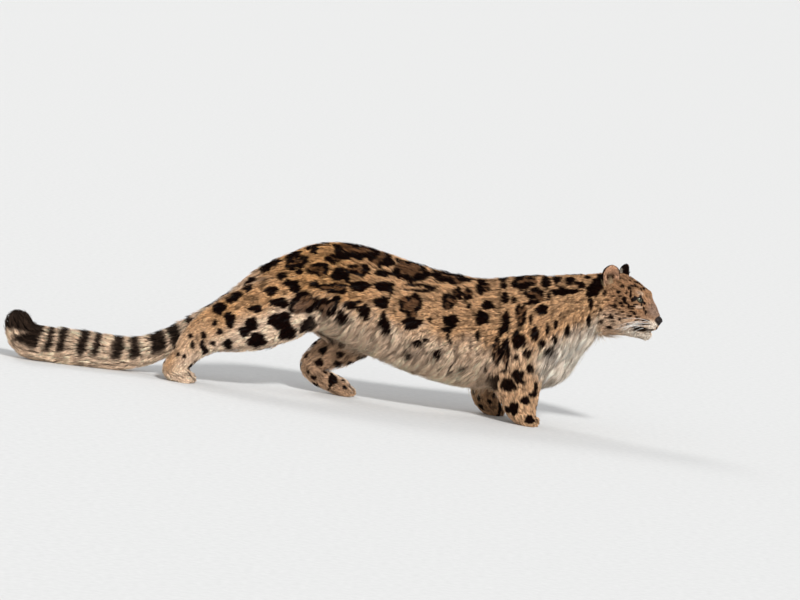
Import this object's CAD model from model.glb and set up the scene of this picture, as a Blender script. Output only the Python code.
import math

import bmesh
import bpy
import numpy as np
from mathutils import Matrix, Vector
from mathutils.kdtree import KDTree


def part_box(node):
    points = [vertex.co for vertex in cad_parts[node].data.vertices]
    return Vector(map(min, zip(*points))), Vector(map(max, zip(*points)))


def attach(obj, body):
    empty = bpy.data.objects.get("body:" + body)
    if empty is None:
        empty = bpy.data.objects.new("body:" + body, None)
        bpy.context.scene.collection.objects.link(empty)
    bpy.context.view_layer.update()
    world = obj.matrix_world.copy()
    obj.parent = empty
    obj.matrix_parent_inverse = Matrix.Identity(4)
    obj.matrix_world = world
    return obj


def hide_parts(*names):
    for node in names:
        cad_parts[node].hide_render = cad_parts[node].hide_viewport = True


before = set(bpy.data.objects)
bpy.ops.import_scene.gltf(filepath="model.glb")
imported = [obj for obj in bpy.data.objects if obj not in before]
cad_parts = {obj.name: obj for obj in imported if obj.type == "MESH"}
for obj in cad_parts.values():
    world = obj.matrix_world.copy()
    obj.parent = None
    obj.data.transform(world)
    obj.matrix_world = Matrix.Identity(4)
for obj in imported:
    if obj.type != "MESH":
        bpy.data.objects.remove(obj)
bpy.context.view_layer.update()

MM = 0.001
LIMB_BLEND = 22  # how softly the limbs, the tail and the trunk run together
FACE_BLEND = 9  # the same for the forms of the head
NECK_BLEND = 30  # for the head and the neck
TOE_BLEND = 2.5  # and for the toes
STATIONS = 5  # between two beads
STRAND_MARGIN = 70  # how far off a strand its distance is worked out
FAR = 1e3  # the distance given beyond that
BATCH = 30000  # points worked out together

# The body's own strands: chains of beads [x, y, z, half depth, half breadth], out to the hair's tips.
SPINE = [
    [-136, 0, 277, 97, 86], [-59, 0, 299, 117, 106], [24, 0, 288, 131, 110],
    [116, 0, 263, 138, 110], [207, 0, 241, 143, 115], [290, 0, 227, 147, 120],
    [371, 0, 224, 148, 123], [446, 0, 235, 149, 121], [504, 0, 255, 142, 112],
    [563, -3, 284, 121, 100], [631, -8, 325, 90, 84], [675, -13, 350, 68, 70],
    [700, -15, 354, 46, 48],
]
CHEST = [[500, 0, 196, 108, 94], [548, -1, 194, 94, 86]]
HIND_RIGHT = [
    [-112, -44, 244, 72, 54], [-161, -56, 232, 92, 58], [-219, -66, 203, 93, 54],
    [-276, -72, 178, 81, 47], [-327, -75, 155, 65, 40], [-360, -77, 134, 55, 35],
    [-389, -78, 104, 44, 32], [-411, -79, 68, 35, 31], [-436, -80, 31, 30, 33],
    [-410, -81, 21, 25, 37],
]
HIND_LEFT = [
    [-50, 46, 240, 80, 56], [34, 64, 184, 76, 52], [2, 72, 136, 58, 44], [-48, 77, 96, 42, 34],
    [-70, 79, 72, 34, 31], [-48, 80, 47, 29, 31], [-10, 80, 31, 26, 34], [16, 80, 22, 26, 37],
]
FORE_RIGHT = [
    [478, -36, 280, 76, 60], [472, -58, 205, 82, 56], [476, -66, 150, 74, 50],
    [488, -72, 106, 63, 45], [498, -76, 66, 50, 40], [506, -78, 42, 40, 40], [517, -79, 26, 30, 42],
]
FORE_LEFT = [
    [474, 36, 280, 76, 60], [458, 60, 205, 78, 54], [440, 68, 158, 64, 46], [420, 74, 108, 50, 40],
    [404, 77, 66, 38, 36], [410, 79, 42, 32, 37], [426, 80, 24, 28, 40],
]
TAIL = [
    [-165, 0, 320, 40, 42], [-231, 12, 289, 36, 36], [-284, 24, 235, 33, 35],
    [-333, 32, 189, 33, 35], [-382, 36, 148, 36, 37], [-431, 34, 110, 39, 39],
    [-481, 28, 79, 39, 39], [-533, 20, 58, 42, 41], [-586, 14, 46, 46, 44], [-640, 9, 45, 49, 48],
    [-694, 5, 46, 50, 49], [-748, 2, 46, 50, 50], [-800, 0, 46, 49, 48], [-846, -2, 56, 47, 46],
    [-866, -3, 88, 41, 40],
]

# The head's strands are in its own frame: forward, left, up.
HEAD_AT = np.array([743.0, -15.0, 376.0])
HEAD_TURN = math.radians(-22)
HEAD_DIP = math.radians(10)
SKULL = [[-50, 0, -14, 50, 54], [-18, 0, -8, 62, 64], [15, 0, -4, 52, 58], [42, 0, 0, 38, 47]]
BRIDGE = [[38, 0, 4, 28, 30], [72, 0, -11, 25, 23], [98, 0, -31, 19, 20], [110, 0, -37, 13, 16]]
JAW = [[-10, 0, -80, 34, 42], [40, 0, -80, 22, 32], [76, 0, -80, 17, 21], [92, 0, -81, 16, 15]]
CHEEK = [[-28, 34, -48, 46, 34], [8, 38, -50, 44, 34], [40, 31, -46, 31, 29]]
MUZZLE = [[66, 15, -46, 25, 21], [90, 14, -50, 21, 20], [100, 11, -51, 16, 16]]
BROW = [[34, 33, 20, 13, 15], [54, 31, 19, 11, 13]]

EYE_AT = np.array([53.0, 36.0, 7.0])
EYE_RADIUS = 12.5
EYE_SPLAY = math.radians(36)  # each eye looks this far outwards
LID_THICKNESS = 1.9
SOCKET_DEPTH = 3.2  # how far the skin between the lids lies below the eyeball's surface
LID_TILT = math.radians(18)
LID_HALF_LONG = 10.6
UPPER_LID, LOWER_LID = 4.7, 4.4
EAR_AT = np.array([-33.0, 53.0, 40.0])
EAR_SPLAY = math.radians(42)
EAR_LEAN = math.radians(12)
EAR_TALL, EAR_WIDE, EAR_DEEP = 33, 26, 12
NOSE_AT = np.array([110.5, 0.0, -35.0])
NOSE_LONG, NOSE_WIDE, NOSE_TALL = 14, 16, 13
NOSE_GROOVE, NOSTRIL_DEPTH = 1.6, 3.6
MOUTH_CORNER = np.array([56.0, 34.0, -72.0])
MOUTH_FRONT = 112
LIP_CREASE, LIP_CREASE_TALL = 3.4, 2.4
CLEFT_DEPTH, CLEFT_HALF_WIDE = 2.2, 1.6

# Each foot's middle [x, y] and its breadth.
FEET = {
    "fore_right": (528, -80, 74), "fore_left": (437, 80, 74),
    "hind_right": (-401, -81, 68), "hind_left": (28, 80, 68),
}
TOE_LONG, TOE_TALL, TOE_HEIGHT = 23, 17, 14


# Forms

def unit(v):
    return v / np.maximum(np.linalg.norm(v, axis=-1, keepdims=True), 1e-12)


def smoothstep(x, low, high):
    t = np.clip((x - low) / (high - low), 0, 1)
    return t * t * (3 - 2 * t)


def smooth_min(a, b, blend):
    h = np.maximum(blend - np.abs(a - b), 0) / blend
    return np.minimum(a, b) - h * h * blend / 4


def along_curve(points, at):
    """A centripetal curve through points, read at places counted in points from the first."""
    p = np.asarray(points, float)
    ends = np.vstack([2 * p[0] - p[1], p, 2 * p[-1] - p[-2]])
    i = np.clip(np.floor(at).astype(int), 0, len(p) - 2)
    t = (at - i)[:, None]
    a, b, c, d = ends[i], ends[i + 1], ends[i + 2], ends[i + 3]
    steps = (b - a, c - b, d - c)
    gap = [np.maximum(np.linalg.norm(step, axis=1, keepdims=True) ** 0.5, 1e-4) for step in steps]
    first = gap[1] * ((b - a) / gap[0] - (c - a) / (gap[0] + gap[1]) + (c - b) / gap[1])
    last = gap[1] * ((c - b) / gap[1] - (d - b) / (gap[1] + gap[2]) + (d - c) / gap[2])
    return b + first * t + (3 * (c - b) - 2 * first - last) * t**2 + (2 * (b - c) + first + last) * t**3


class Strand:
    """A chain of beads as close stations, with the coat's length and depth along it."""

    def __init__(self, beads, hair, depth, mirror=1):
        beads = np.array(beads, float) * [1, mirror, 1, 1, 1]
        at = np.arange((len(beads) - 1) * STATIONS + 1) / STATIONS
        self.centres = along_curve(beads[:, :3], at)
        girth = along_curve(np.pad(beads[:, 3:], ((0, 0), (0, 1))), at)
        self.deep, self.wide = girth[:, 0], girth[:, 1]
        places = np.linspace(0, 1, len(at))
        self.hair = np.interp(places, np.linspace(0, 1, len(hair)), hair)
        self.depth = np.interp(places, np.linspace(0, 1, len(depth)), depth)
        self.low = (self.centres - self.deep.max()).min(0) - STRAND_MARGIN
        self.high = (self.centres + self.deep.max()).max(0) + STRAND_MARGIN

    def read(self, points):
        """Distance from each point to the surface, and the place of the nearest station, in stations."""
        distance = np.full(len(points), FAR)
        place = np.zeros(len(points))
        near = np.flatnonzero(((points > self.low) & (points < self.high)).all(1))
        stretch = (self.deep / self.wide) ** 2
        x, y, z = self.centres.T
        ones = np.ones_like(x)
        fixed = x**2 + stretch * y**2 + z**2
        squares = np.array([ones, stretch, ones, -2 * x, -2 * stretch * y, -2 * z, fixed])
        for part in np.array_split(near, max(len(near) // BATCH, 1)):
            if not len(part):
                continue
            p = points[part]
            terms = np.hstack([p**2, p, np.ones((len(p), 1))])
            nearest = (np.sqrt(np.maximum(terms @ squares, 0)) - self.deep).argmin(1)
            for shift in (-1, 0):
                i = np.clip(nearest + shift, 0, len(self.centres) - 2)
                step = self.centres[i + 1] - self.centres[i]
                away = p - self.centres[i]
                t = np.clip((away * step).sum(1) / (step**2).sum(1), 0, 1)
                deep = self.deep[i] + (self.deep[i + 1] - self.deep[i]) * t
                wide = self.wide[i] + (self.wide[i + 1] - self.wide[i]) * t
                away -= step * t[:, None]
                away[:, 1] *= deep / wide
                reach = np.linalg.norm(away, axis=1) - deep
                closer = reach < distance[part]
                distance[part[closer]] = reach[closer]
                place[part[closer]] = (i + t)[closer]
        return distance, place

    def tangent(self, place):
        i = np.clip(place.astype(int), 0, len(self.centres) - 2)
        return unit(self.centres[i + 1] - self.centres[i])

    def centre(self, place):
        i = np.clip(place.astype(int), 0, len(self.centres) - 2)
        return self.centres[i] + (self.centres[i + 1] - self.centres[i]) * (place - i)[:, None]


BODY = {
    "spine": Strand(SPINE, [23, 22, 22, 22, 22, 24], [9, 9, 9, 9, 9, 8]),
    "chest": Strand(CHEST, [38, 40], [10, 12]),
    "hind_right": Strand(HIND_RIGHT, [23, 22, 21, 17, 12, 9], [9, 9, 8, 6, 4, 3.5]),
    "hind_left": Strand(HIND_LEFT, [28, 26, 20, 16, 12, 9], [9, 9, 7, 5, 4, 3.5]),
    "fore_right": Strand(FORE_RIGHT, [26, 26, 24, 18, 12, 9], [9, 9, 8, 6, 4, 3.5]),
    "fore_left": Strand(FORE_LEFT, [26, 26, 24, 18, 12, 9], [9, 9, 7, 5, 4, 3.5]),
}
TAIL_STRAND = Strand(TAIL, [26, 28, 31, 33, 28], [9, 10, 11, 12, 10])
STRANDS = {**BODY, "tail": TAIL_STRAND}
SKULL_FORMS = [
    Strand(SKULL, [16, 11, 9, 7], [5, 3.6, 3, 2.4]),
    Strand(BRIDGE, [5, 4, 3], [2, 1.3, 1]),
    Strand(JAW, [16, 13, 10], [5, 4, 3]),
    Strand(CHEEK, [26, 22, 10], [8, 6, 3]),
    Strand(CHEEK, [26, 22, 10], [8, 6, 3], mirror=-1),
    Strand(MUZZLE, [6, 5, 4], [1.8, 1.4, 1.2]),
    Strand(MUZZLE, [6, 5, 4], [1.8, 1.4, 1.2], mirror=-1),
    Strand(BROW, [6, 5], [1.8, 1.5]),
    Strand(BROW, [6, 5], [1.8, 1.5], mirror=-1),
]


def head_axes():
    """The head's own forward, left and up."""
    along, aside = math.cos(HEAD_TURN), math.sin(HEAD_TURN)
    level, dip = math.cos(HEAD_DIP), math.sin(HEAD_DIP)
    return np.array([
        [level * along, level * aside, -dip],
        [-aside, along, 0],
        [dip * along, dip * aside, level],
    ])


HEAD_AXES = head_axes()


def into_head(points):
    return (points - HEAD_AT) @ HEAD_AXES.T


def out_of_head(points):
    return np.asarray(points, float) @ HEAD_AXES + HEAD_AT


def strands_offset():
    """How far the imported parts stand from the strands' own origin, told by an eye."""
    low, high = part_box("eye_right")
    return (np.array(low) + np.array(high)) / 2 / MM - out_of_head(EYE_AT * [1, -1, 1])


OFFSET = strands_offset()
FOOT_HEIGHT = 60  # toes lie below this
TOE_FAN = 0.14  # how far the outer toes turn outwards, in radians


def toe_frames():
    """Centre, turn and radii of each toe: four to a foot, the inner two further forward."""
    for x, y, width in FEET.values():
        for i in range(4):
            across = (i - 1.5) / 1.5
            wide = width / 7
            at = np.array([x + 10 * (1 - across**2), y + across * (width / 2 - wide), TOE_HEIGHT])
            yield at, across * TOE_FAN, np.array([TOE_LONG, wide + 1, TOE_TALL])


def toes_field(points):
    nearest = np.full(len(points), FAR)
    low = np.flatnonzero(points[:, 2] < FOOT_HEIGHT)
    for at, turned, radii in toe_frames():
        away = points[low] - at
        c, s = math.cos(turned), math.sin(turned)
        forward = away[:, 0] * c + away[:, 1] * s
        left = away[:, 1] * c - away[:, 0] * s
        away = np.stack([forward, left, away[:, 2]], 1)
        reach = (np.linalg.norm(away / radii, axis=1) - 1) * radii.min()
        nearest[low] = np.minimum(nearest[low], reach)
    return nearest


def toe_creases(points):
    """1 in the folds between the toes, 0 elsewhere."""
    dark = np.zeros(len(points))
    for x, y, width in FEET.values():
        across = (points[:, 1] - y) / (width / 2 - width / 7) * 1.5 + 1.5
        fold = 1 - smoothstep(np.abs(np.mod(across, 1) - 0.5), 0.02, 0.17)
        fold *= (np.abs(across - 1.5) < 1.4) * (np.abs(points[:, 0] - x - 22) < 26)
        dark = np.maximum(dark, fold * smoothstep(-points[:, 2], -36, -26))
    return dark


def eye_frame(sign):
    """Centre, gaze, up and left of an eye, in the head's frame."""
    gaze = unit(np.array([math.cos(EYE_SPLAY), sign * math.sin(EYE_SPLAY), 0.06]))
    left = unit(np.cross([0, 0, 1], gaze))
    return EYE_AT * [1, sign, 1], gaze, np.cross(gaze, left), left


def lid_opening(q, sign):
    """Less than 0 between the lids, growing outwards in millimetres."""
    centre, gaze, up, left = eye_frame(sign)
    away = q - centre
    c, s = math.cos(LID_TILT), math.sin(LID_TILT) * sign
    x = away @ left * c + away @ up * s
    y = away @ up * c - away @ left * s
    almond = np.maximum(1 - (np.abs(x) / LID_HALF_LONG) ** 2.2, 0) ** 0.8
    lid = np.where(y > 0, UPPER_LID, LOWER_LID) * almond
    return np.maximum(np.abs(y) - lid, np.where(away @ gaze > 0, -9, 30))


def face_field(q, base):
    """The head's field with the eyes' bulge, the crease of the lips and the cleft under the nose."""
    for sign in (-1, 1):
        centre = EYE_AT * [1, sign, 1]
        ball = np.linalg.norm(q - centre, axis=1)
        base = smooth_min(base, ball - EYE_RADIUS - LID_THICKNESS, 5)
    crease = LIP_CREASE * np.exp(-((lip_height(q) / LIP_CREASE_TALL) ** 2)) * lip_span(q) * (q[:, 2] < -40)
    return base + crease + CLEFT_DEPTH * cleft(q)


HEAD_REACH = 220  # from the skull's middle, past which the head's field isn't worked out


def head_field(q):
    base = SKULL_FORMS[0].read(q)[0]
    for form in SKULL_FORMS[1:]:
        base = smooth_min(base, form.read(q)[0], FACE_BLEND)
    return base


def body_field(points, face=False):
    """Distance from each point to the coat's outline, less than 0 inside it."""
    trunk = None
    for limb in STRANDS.values():
        reach = limb.read(points)[0]
        trunk = reach if trunk is None else smooth_min(trunk, reach, LIMB_BLEND)
    trunk = smooth_min(trunk, toes_field(points), TOE_BLEND)
    q = into_head(points)
    near = np.flatnonzero(np.linalg.norm(q, axis=1) < HEAD_REACH)
    head = np.full(len(points), FAR)
    head[near] = head_field(q[near])
    if face:
        head[near] = face_field(q[near], head[near])
    return smooth_min(trunk, head, NECK_BLEND)


def slope(field, points, step=1.5):
    """A field's values at points, and the directions in which it grows."""
    base = field(points)
    grown = [field(points + step * axis) - base for axis in np.eye(3)]
    return base, unit(np.stack(grown, 1))


# How the coat lies, its length and depth, at points near the surface.

UNDER_DEPTH = 22
UNDER_HAIR = 74
HEAD_FLOW_FROM = np.array([150.0, 0.0, -30.0])  # the head's hair streams away from here
HEAD_COAT_REACH = 260
BODY_SHARING = 9  # how far apart strands still share a point
HEAD_SHARING = 4


def underside(points, place):
    """1 straight below the trunk's axis, 0 beside it and -1 above."""
    spine = BODY["spine"]
    forward = spine.tangent(place)
    away = unit(points - spine.centre(place))
    return away[:, 0] * forward[:, 2] - away[:, 2] * forward[:, 0]


def nearness(reach, sharing):
    return np.exp(-np.clip(reach, -60, 400) / sharing)


def read_coat(points):
    """The coat at points: its lie, length and depth, how far under the trunk it is, its strands' shares."""
    names = list(STRANDS)
    share, lie, hair, depth, places = [], [], [], [], []
    for name, limb in STRANDS.items():
        reach, place = limb.read(points)
        weight = nearness(reach, BODY_SHARING)
        ends = (place > len(limb.centres) - 1.05) & (name in ("spine", "chest"))
        share.append(np.where(ends, weight * 0.3, weight))
        flow = limb.tangent(place)
        if name in ("spine", "chest"):
            flow = -flow
        lie.append(flow)
        i = np.arange(len(limb.hair))
        hair.append(np.interp(place, i, limb.hair))
        depth.append(np.interp(place, i, limb.depth))
        places.append(place)
    q = into_head(points)
    head_reach = np.full(len(points), FAR)
    head_hair = np.zeros(len(points))
    head_depth = np.zeros(len(points))
    head_weight = np.full(len(points), 1e-9)
    near = np.flatnonzero(np.linalg.norm(q, axis=1) < HEAD_COAT_REACH)
    for form in SKULL_FORMS:
        reach, place = form.read(q[near])
        weight = nearness(reach, HEAD_SHARING)
        head_reach[near] = np.minimum(head_reach[near], reach)
        i = np.arange(len(form.hair))
        head_hair[near] += weight * np.interp(place, i, form.hair)
        head_depth[near] += weight * np.interp(place, i, form.depth)
        head_weight[near] += weight
    names.append("head")
    share.append(nearness(head_reach, BODY_SHARING) * 1.4)
    back = unit(q - HEAD_FLOW_FROM)
    back[:, 2] -= 0.35 * smoothstep(-q[:, 2], 10, 60)
    lie.append(unit(back) @ HEAD_AXES)
    hair.append(head_hair / head_weight)
    depth.append(head_depth / head_weight)
    share = np.array(share)
    share /= share.sum(0)
    under = underside(points, places[0])
    trunk = share[0] + share[1]
    along = places[0] / (len(BODY["spine"].centres) - 1)
    long_hair = smoothstep(under, 0.15, 0.75) * smoothstep(along, 0.06, 0.2)
    long_hair *= smoothstep(trunk, 0.35, 0.9)
    long_hair *= 1 - 0.9 * smoothstep(along, 0.82, 0.93)
    lie = (np.array(lie) * share[..., None]).sum(0)
    droop = trunk * (0.40 * smoothstep(under, -0.7, 0.1) + 1.5 * smoothstep(under, -0.1, 0.5))
    lie[:, 2] -= droop
    hair = (np.array(hair) * share).sum(0)
    depth = (np.array(depth) * share).sum(0)
    return {
        "lie": unit(lie),
        "hair": hair + (UNDER_HAIR - hair) * long_hair,
        "depth": depth + (UNDER_DEPTH - depth) * long_hair,
        "under": under,
        "long": long_hair,
        "share": dict(zip(names, share)),
        "place": dict(zip(names, places)),
        "head": q,
    }


# The skin: balls along every strand, fused, then drawn to the body's field less the coat's depth.

SKIN_VOXEL = 0.0054
FLOOR_CLEAR = 0.6
BALL_SHRINK, FACE_SHRINK, TOE_SHRINK = 7, 1, 1.5


def ball(bm, at, radii, axes=None):
    turned = Matrix()
    if axes is not None:
        turned = Matrix([list(row) for row in axes]).transposed().to_4x4()
    shape = Matrix.Translation(Vector(at) * MM) @ turned @ Matrix.Diagonal([r * MM for r in radii] + [1])
    bmesh.ops.create_icosphere(bm, subdivisions=2, radius=1, matrix=shape)


def link(name, mesh):
    made = bpy.data.objects.new(name, mesh)
    bpy.context.scene.collection.objects.link(made)
    return made


def fused_balls():
    bm = bmesh.new()
    for limb in STRANDS.values():
        stations = list(zip(limb.centres, limb.deep - BALL_SHRINK, limb.wide - BALL_SHRINK))
        for at, deep, wide in stations[::2] + stations[-1:]:
            ball(bm, at, (deep, wide, deep))
    for form in SKULL_FORMS:
        stations = list(zip(form.centres, form.deep - FACE_SHRINK, form.wide - FACE_SHRINK))
        for at, deep, wide in stations[::2]:
            ball(bm, out_of_head(at), (deep, wide, deep), HEAD_AXES)
    for at, _, radii in toe_frames():
        ball(bm, at, radii - TOE_SHRINK)
    mesh = bpy.data.meshes.new("rough")
    bm.to_mesh(mesh)
    bm.free()
    rough = link("rough", mesh)
    fuse = rough.modifiers.new("fuse", "REMESH")
    fuse.mode = "VOXEL"
    fuse.voxel_size = SKIN_VOXEL
    bpy.context.view_layer.update()
    fused = bpy.data.meshes.new_from_object(rough.evaluated_get(bpy.context.evaluated_depsgraph_get()))
    bpy.data.objects.remove(rough)
    return fused


def refine(bm, wanted):
    """Splits the faces whose middles are wanted, in four."""
    middles = np.array([f.calc_center_median() for f in bm.faces]) / MM
    chosen = wanted(middles)
    edges = {e for f, keep in zip(bm.faces, chosen) if keep for e in f.edges}
    bmesh.ops.subdivide_edges(bm, edges=list(edges), cuts=1, use_grid_fill=True)


def vertices_of(mesh):
    co = np.empty(len(mesh.vertices) * 3, np.float64)
    mesh.vertices.foreach_get("co", co)
    return co.reshape(-1, 3)


def project(points, depth, face, turns):
    """Draws points to the depth below the coat's outline, in a few short moves."""
    def field(probes):
        return body_field(probes, face)

    for _ in range(turns):
        reach, away = slope(field, points)
        points = points - away * np.clip(reach + depth, -9, 9)[:, None]
        points[:, 2] = np.maximum(points[:, 2], FLOOR_CLEAR)
    return points


def skin_depth(points, coat):
    """The skin lies inside the outline by the coat's depth, but close round the eyes, lips and soles."""
    depth = coat["depth"].copy()
    for sign in (-1, 1):
        eye = np.linalg.norm(coat["head"] - EYE_AT * [1, sign, 1], axis=1)
        round_eye = np.maximum(depth * smoothstep(eye, 13, 34), 1.3 * smoothstep(eye, 15.2, 18))
        depth = np.where(eye < 60, round_eye, depth)
    depth *= 0.25 + 0.75 * smoothstep(points[:, 2], 2, 16)
    return depth


def open_lids(points):
    """Sinks the skin between the lids below the eye, straight towards its middle."""
    q = into_head(points)
    for sign in (-1, 1):
        centre = EYE_AT * [1, sign, 1]
        away = q - centre
        reach = np.linalg.norm(away, axis=1)
        opened = (1 - smoothstep(lid_opening(q, sign), -0.7, 0.5)) * (reach < EYE_RADIUS + 14)
        sunk = reach + (EYE_RADIUS - SOCKET_DEPTH - reach) * opened
        q = centre + away * (sunk / reach)[:, None]
    return out_of_head(q)


def on_face(points):
    return np.linalg.norm(into_head(points) - [80, 0, -30], axis=1) < 78


def on_head_or_feet(points):
    head = np.linalg.norm(into_head(points) - [15, 0, -20], axis=1) < 112
    tail_side = (points[:, 0] <= -470) & (points[:, 1] >= -45)
    return head | ((points[:, 2] < 48) & ~tail_side)


def make_skin():
    bm = bmesh.new()
    bm.from_mesh(fused_balls())
    refine(bm, on_head_or_feet)
    mesh = bpy.data.meshes.new("skin")
    bm.to_mesh(mesh)
    points = vertices_of(mesh) / MM
    coat = read_coat(points)
    points = project(points, skin_depth(points, coat), False, 3)
    mesh.vertices.foreach_set("co", (points * MM).ravel())
    bm.free()
    bm = bmesh.new()
    bm.from_mesh(mesh)
    axes = {f"use_axis_{axis}": True for axis in "xyz"}
    for _ in range(2):
        bmesh.ops.smooth_vert(bm, verts=bm.verts, factor=0.5, **axes)
    refine(bm, on_face)
    bmesh.ops.triangulate(bm, faces=bm.faces)
    bm.to_mesh(mesh)
    bm.free()
    points = vertices_of(mesh) / MM
    coat = read_coat(points)
    points = open_lids(project(points, skin_depth(points, coat), True, 3))
    mesh.vertices.foreach_set("co", (points * MM).ravel())
    mesh.update()
    return mesh


# The view, as the picture has it: from the animal's right, a little above, leaning a little.

VIEW_AIM = np.array([146.0, 0.0, 285.5])
VIEW_RISE = math.radians(5)
VIEW_ROLL = math.radians(7.2)
VIEW_DISTANCE = 12000
LENS, SENSOR = 200, 36
PICTURE_MIDDLE = np.array([400.0, 300.0])
PICTURE_SCALE = 2.7  # millimetres at the animal for each of the picture's points
MARK_DEPTH = 3  # the coat's markings are placed this far below its outline

AHEAD = np.array([0, math.cos(VIEW_RISE), -math.sin(VIEW_RISE)])
UPRIGHT = np.array([0, math.sin(VIEW_RISE), math.cos(VIEW_RISE)])
RIGHTWARD = math.cos(VIEW_ROLL) * np.array([1.0, 0, 0]) + math.sin(VIEW_ROLL) * UPRIGHT
UPWARD = math.cos(VIEW_ROLL) * UPRIGHT - math.sin(VIEW_ROLL) * np.array([1.0, 0, 0])
VIEW_FROM = VIEW_AIM - AHEAD * VIEW_DISTANCE


def seen_at(picture):
    """Where the lines of sight through picture points meet the coat, and which of them do."""
    away = (np.asarray(picture, float) - PICTURE_MIDDLE) * [PICTURE_SCALE, -PICTURE_SCALE]
    target = VIEW_AIM + away[:, :1] * RIGHTWARD + away[:, 1:] * UPWARD
    sight = unit(target - VIEW_FROM)
    at = target - sight * 400
    for _ in range(60):
        at = at + sight * (np.minimum(body_field(at) + MARK_DEPTH, 40) * 0.8)[:, None]
    return at, np.abs(body_field(at) + MARK_DEPTH) < 6


# Markings. Each is [x, y, width, height] in picture points, as the coat shows them.

RINGS = [
    [352, 249, 36, 15], [381, 257, 23, 14], [412, 269, 33, 19], [448, 276, 29, 12],
    [482, 287, 13, 12], [296, 262, 20, 13], [318, 269, 19, 13], [358, 269, 23, 11],
    [332, 258, 16, 8], [303, 304, 27, 19], [326, 308, 19, 18], [410, 305, 20, 22],
    [448, 301, 14, 15], [457, 293, 9, 12], [467, 294, 9, 12], [523, 281, 22, 13],
    [534, 294, 18, 12], [520, 315, 11, 20], [333, 288, 26, 11], [496, 353, 9, 26],
    [505, 353, 8, 28],
]
SOLIDS = [
    [235, 296, 11, 8], [250, 283, 13, 11], [266, 264, 12, 8], [275, 259, 9, 6], [292, 252, 15, 8],
    [316, 245, 25, 7], [313, 251, 8, 5], [338, 274, 14, 13], [384, 273, 20, 6], [359, 286, 20, 10],
    [383, 286, 18, 10], [281, 276, 10, 7], [287, 283, 9, 7], [294, 287, 11, 11], [313, 284, 10, 7],
    [298, 272, 9, 5], [270, 291, 12, 9], [279, 303, 18, 9], [255, 309, 14, 7], [349, 306, 16, 8],
    [363, 313, 12, 15], [381, 302, 14, 12], [383, 326, 11, 22], [411, 324, 19, 12],
    [420, 285, 31, 3], [419, 290, 28, 3], [279, 321, 22, 15], [287, 334, 17, 14],
    [308, 327, 16, 13], [340, 320, 11, 14], [256, 341, 17, 14], [227, 345, 9, 10],
    [487, 305, 12, 9], [450, 321, 15, 12], [446, 330, 10, 6], [481, 318, 13, 14], [406, 358, 9, 6],
    [416, 345, 9, 8], [436, 356, 7, 10], [461, 370, 7, 4], [448, 375, 6, 5], [477, 336, 5, 10],
    [449, 343, 5, 6], [503, 286, 7, 6], [504, 298, 8, 11], [513, 300, 6, 6], [534, 273, 8, 5],
    [545, 281, 9, 12], [556, 279, 9, 8], [569, 281, 10, 8], [581, 286, 7, 7], [564, 292, 28, 6],
    [530, 320, 4, 9], [541, 310, 12, 10], [505, 322, 8, 21], [518, 341, 13, 17], [534, 334, 8, 15],
    [541, 345, 8, 8], [554, 341, 6, 8], [555, 325, 5, 8], [567, 332, 6, 11], [527, 355, 8, 8],
    [548, 354, 10, 10], [518, 377, 11, 13], [530, 370, 7, 9], [508, 386, 14, 13], [493, 384, 9, 9],
    [533, 395, 8, 6], [525, 401, 9, 8], [514, 409, 9, 12], [530, 420, 9, 8], [337, 365, 8, 7],
    [333, 379, 8, 12], [363, 356, 12, 8], [314, 378, 6, 4], [178, 355, 4, 4], [184, 357, 4, 4],
    [202, 346, 5, 11], [190, 336, 5, 4], [212, 344, 6, 5], [251, 324, 12, 12], [244, 332, 11, 10],
    [205, 352, 6, 6], [219, 332, 7, 6], [218, 308, 13, 11], [229, 320, 10, 15], [214, 323, 5, 6],
    [203, 336, 5, 9], [192, 345, 4, 8], [229, 300, 9, 6], [246, 287, 10, 6], [346, 276, 6, 14],
    [336, 300, 8, 8], [390, 291, 5, 8], [358, 302, 6, 4], [431, 287, 9, 4], [468, 306, 5, 4],
    [429, 320, 4, 5], [447, 337, 4, 7], [425, 341, 7, 4], [466, 279, 12, 5], [480, 277, 13, 4],
    [398, 260, 8, 4], [432, 269, 6, 3], [502, 280, 9, 6], [500, 332, 6, 9], [548, 297, 4, 7],
    [547, 329, 4, 12], [590, 304, 5, 12], [587, 278, 6, 4], [561, 288, 8, 3], [533, 302, 11, 4],
    [527, 304, 9, 3], [576, 284, 6, 4], [516, 358, 5, 5], [536, 387, 3, 9], [497, 380, 4, 7],
    [523, 383, 6, 4], [500, 403, 6, 9], [508, 410, 6, 6], [554, 359, 4, 6], [540, 374, 5, 3],
    [484, 372, 3, 6], [505, 372, 9, 3],
]
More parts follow.
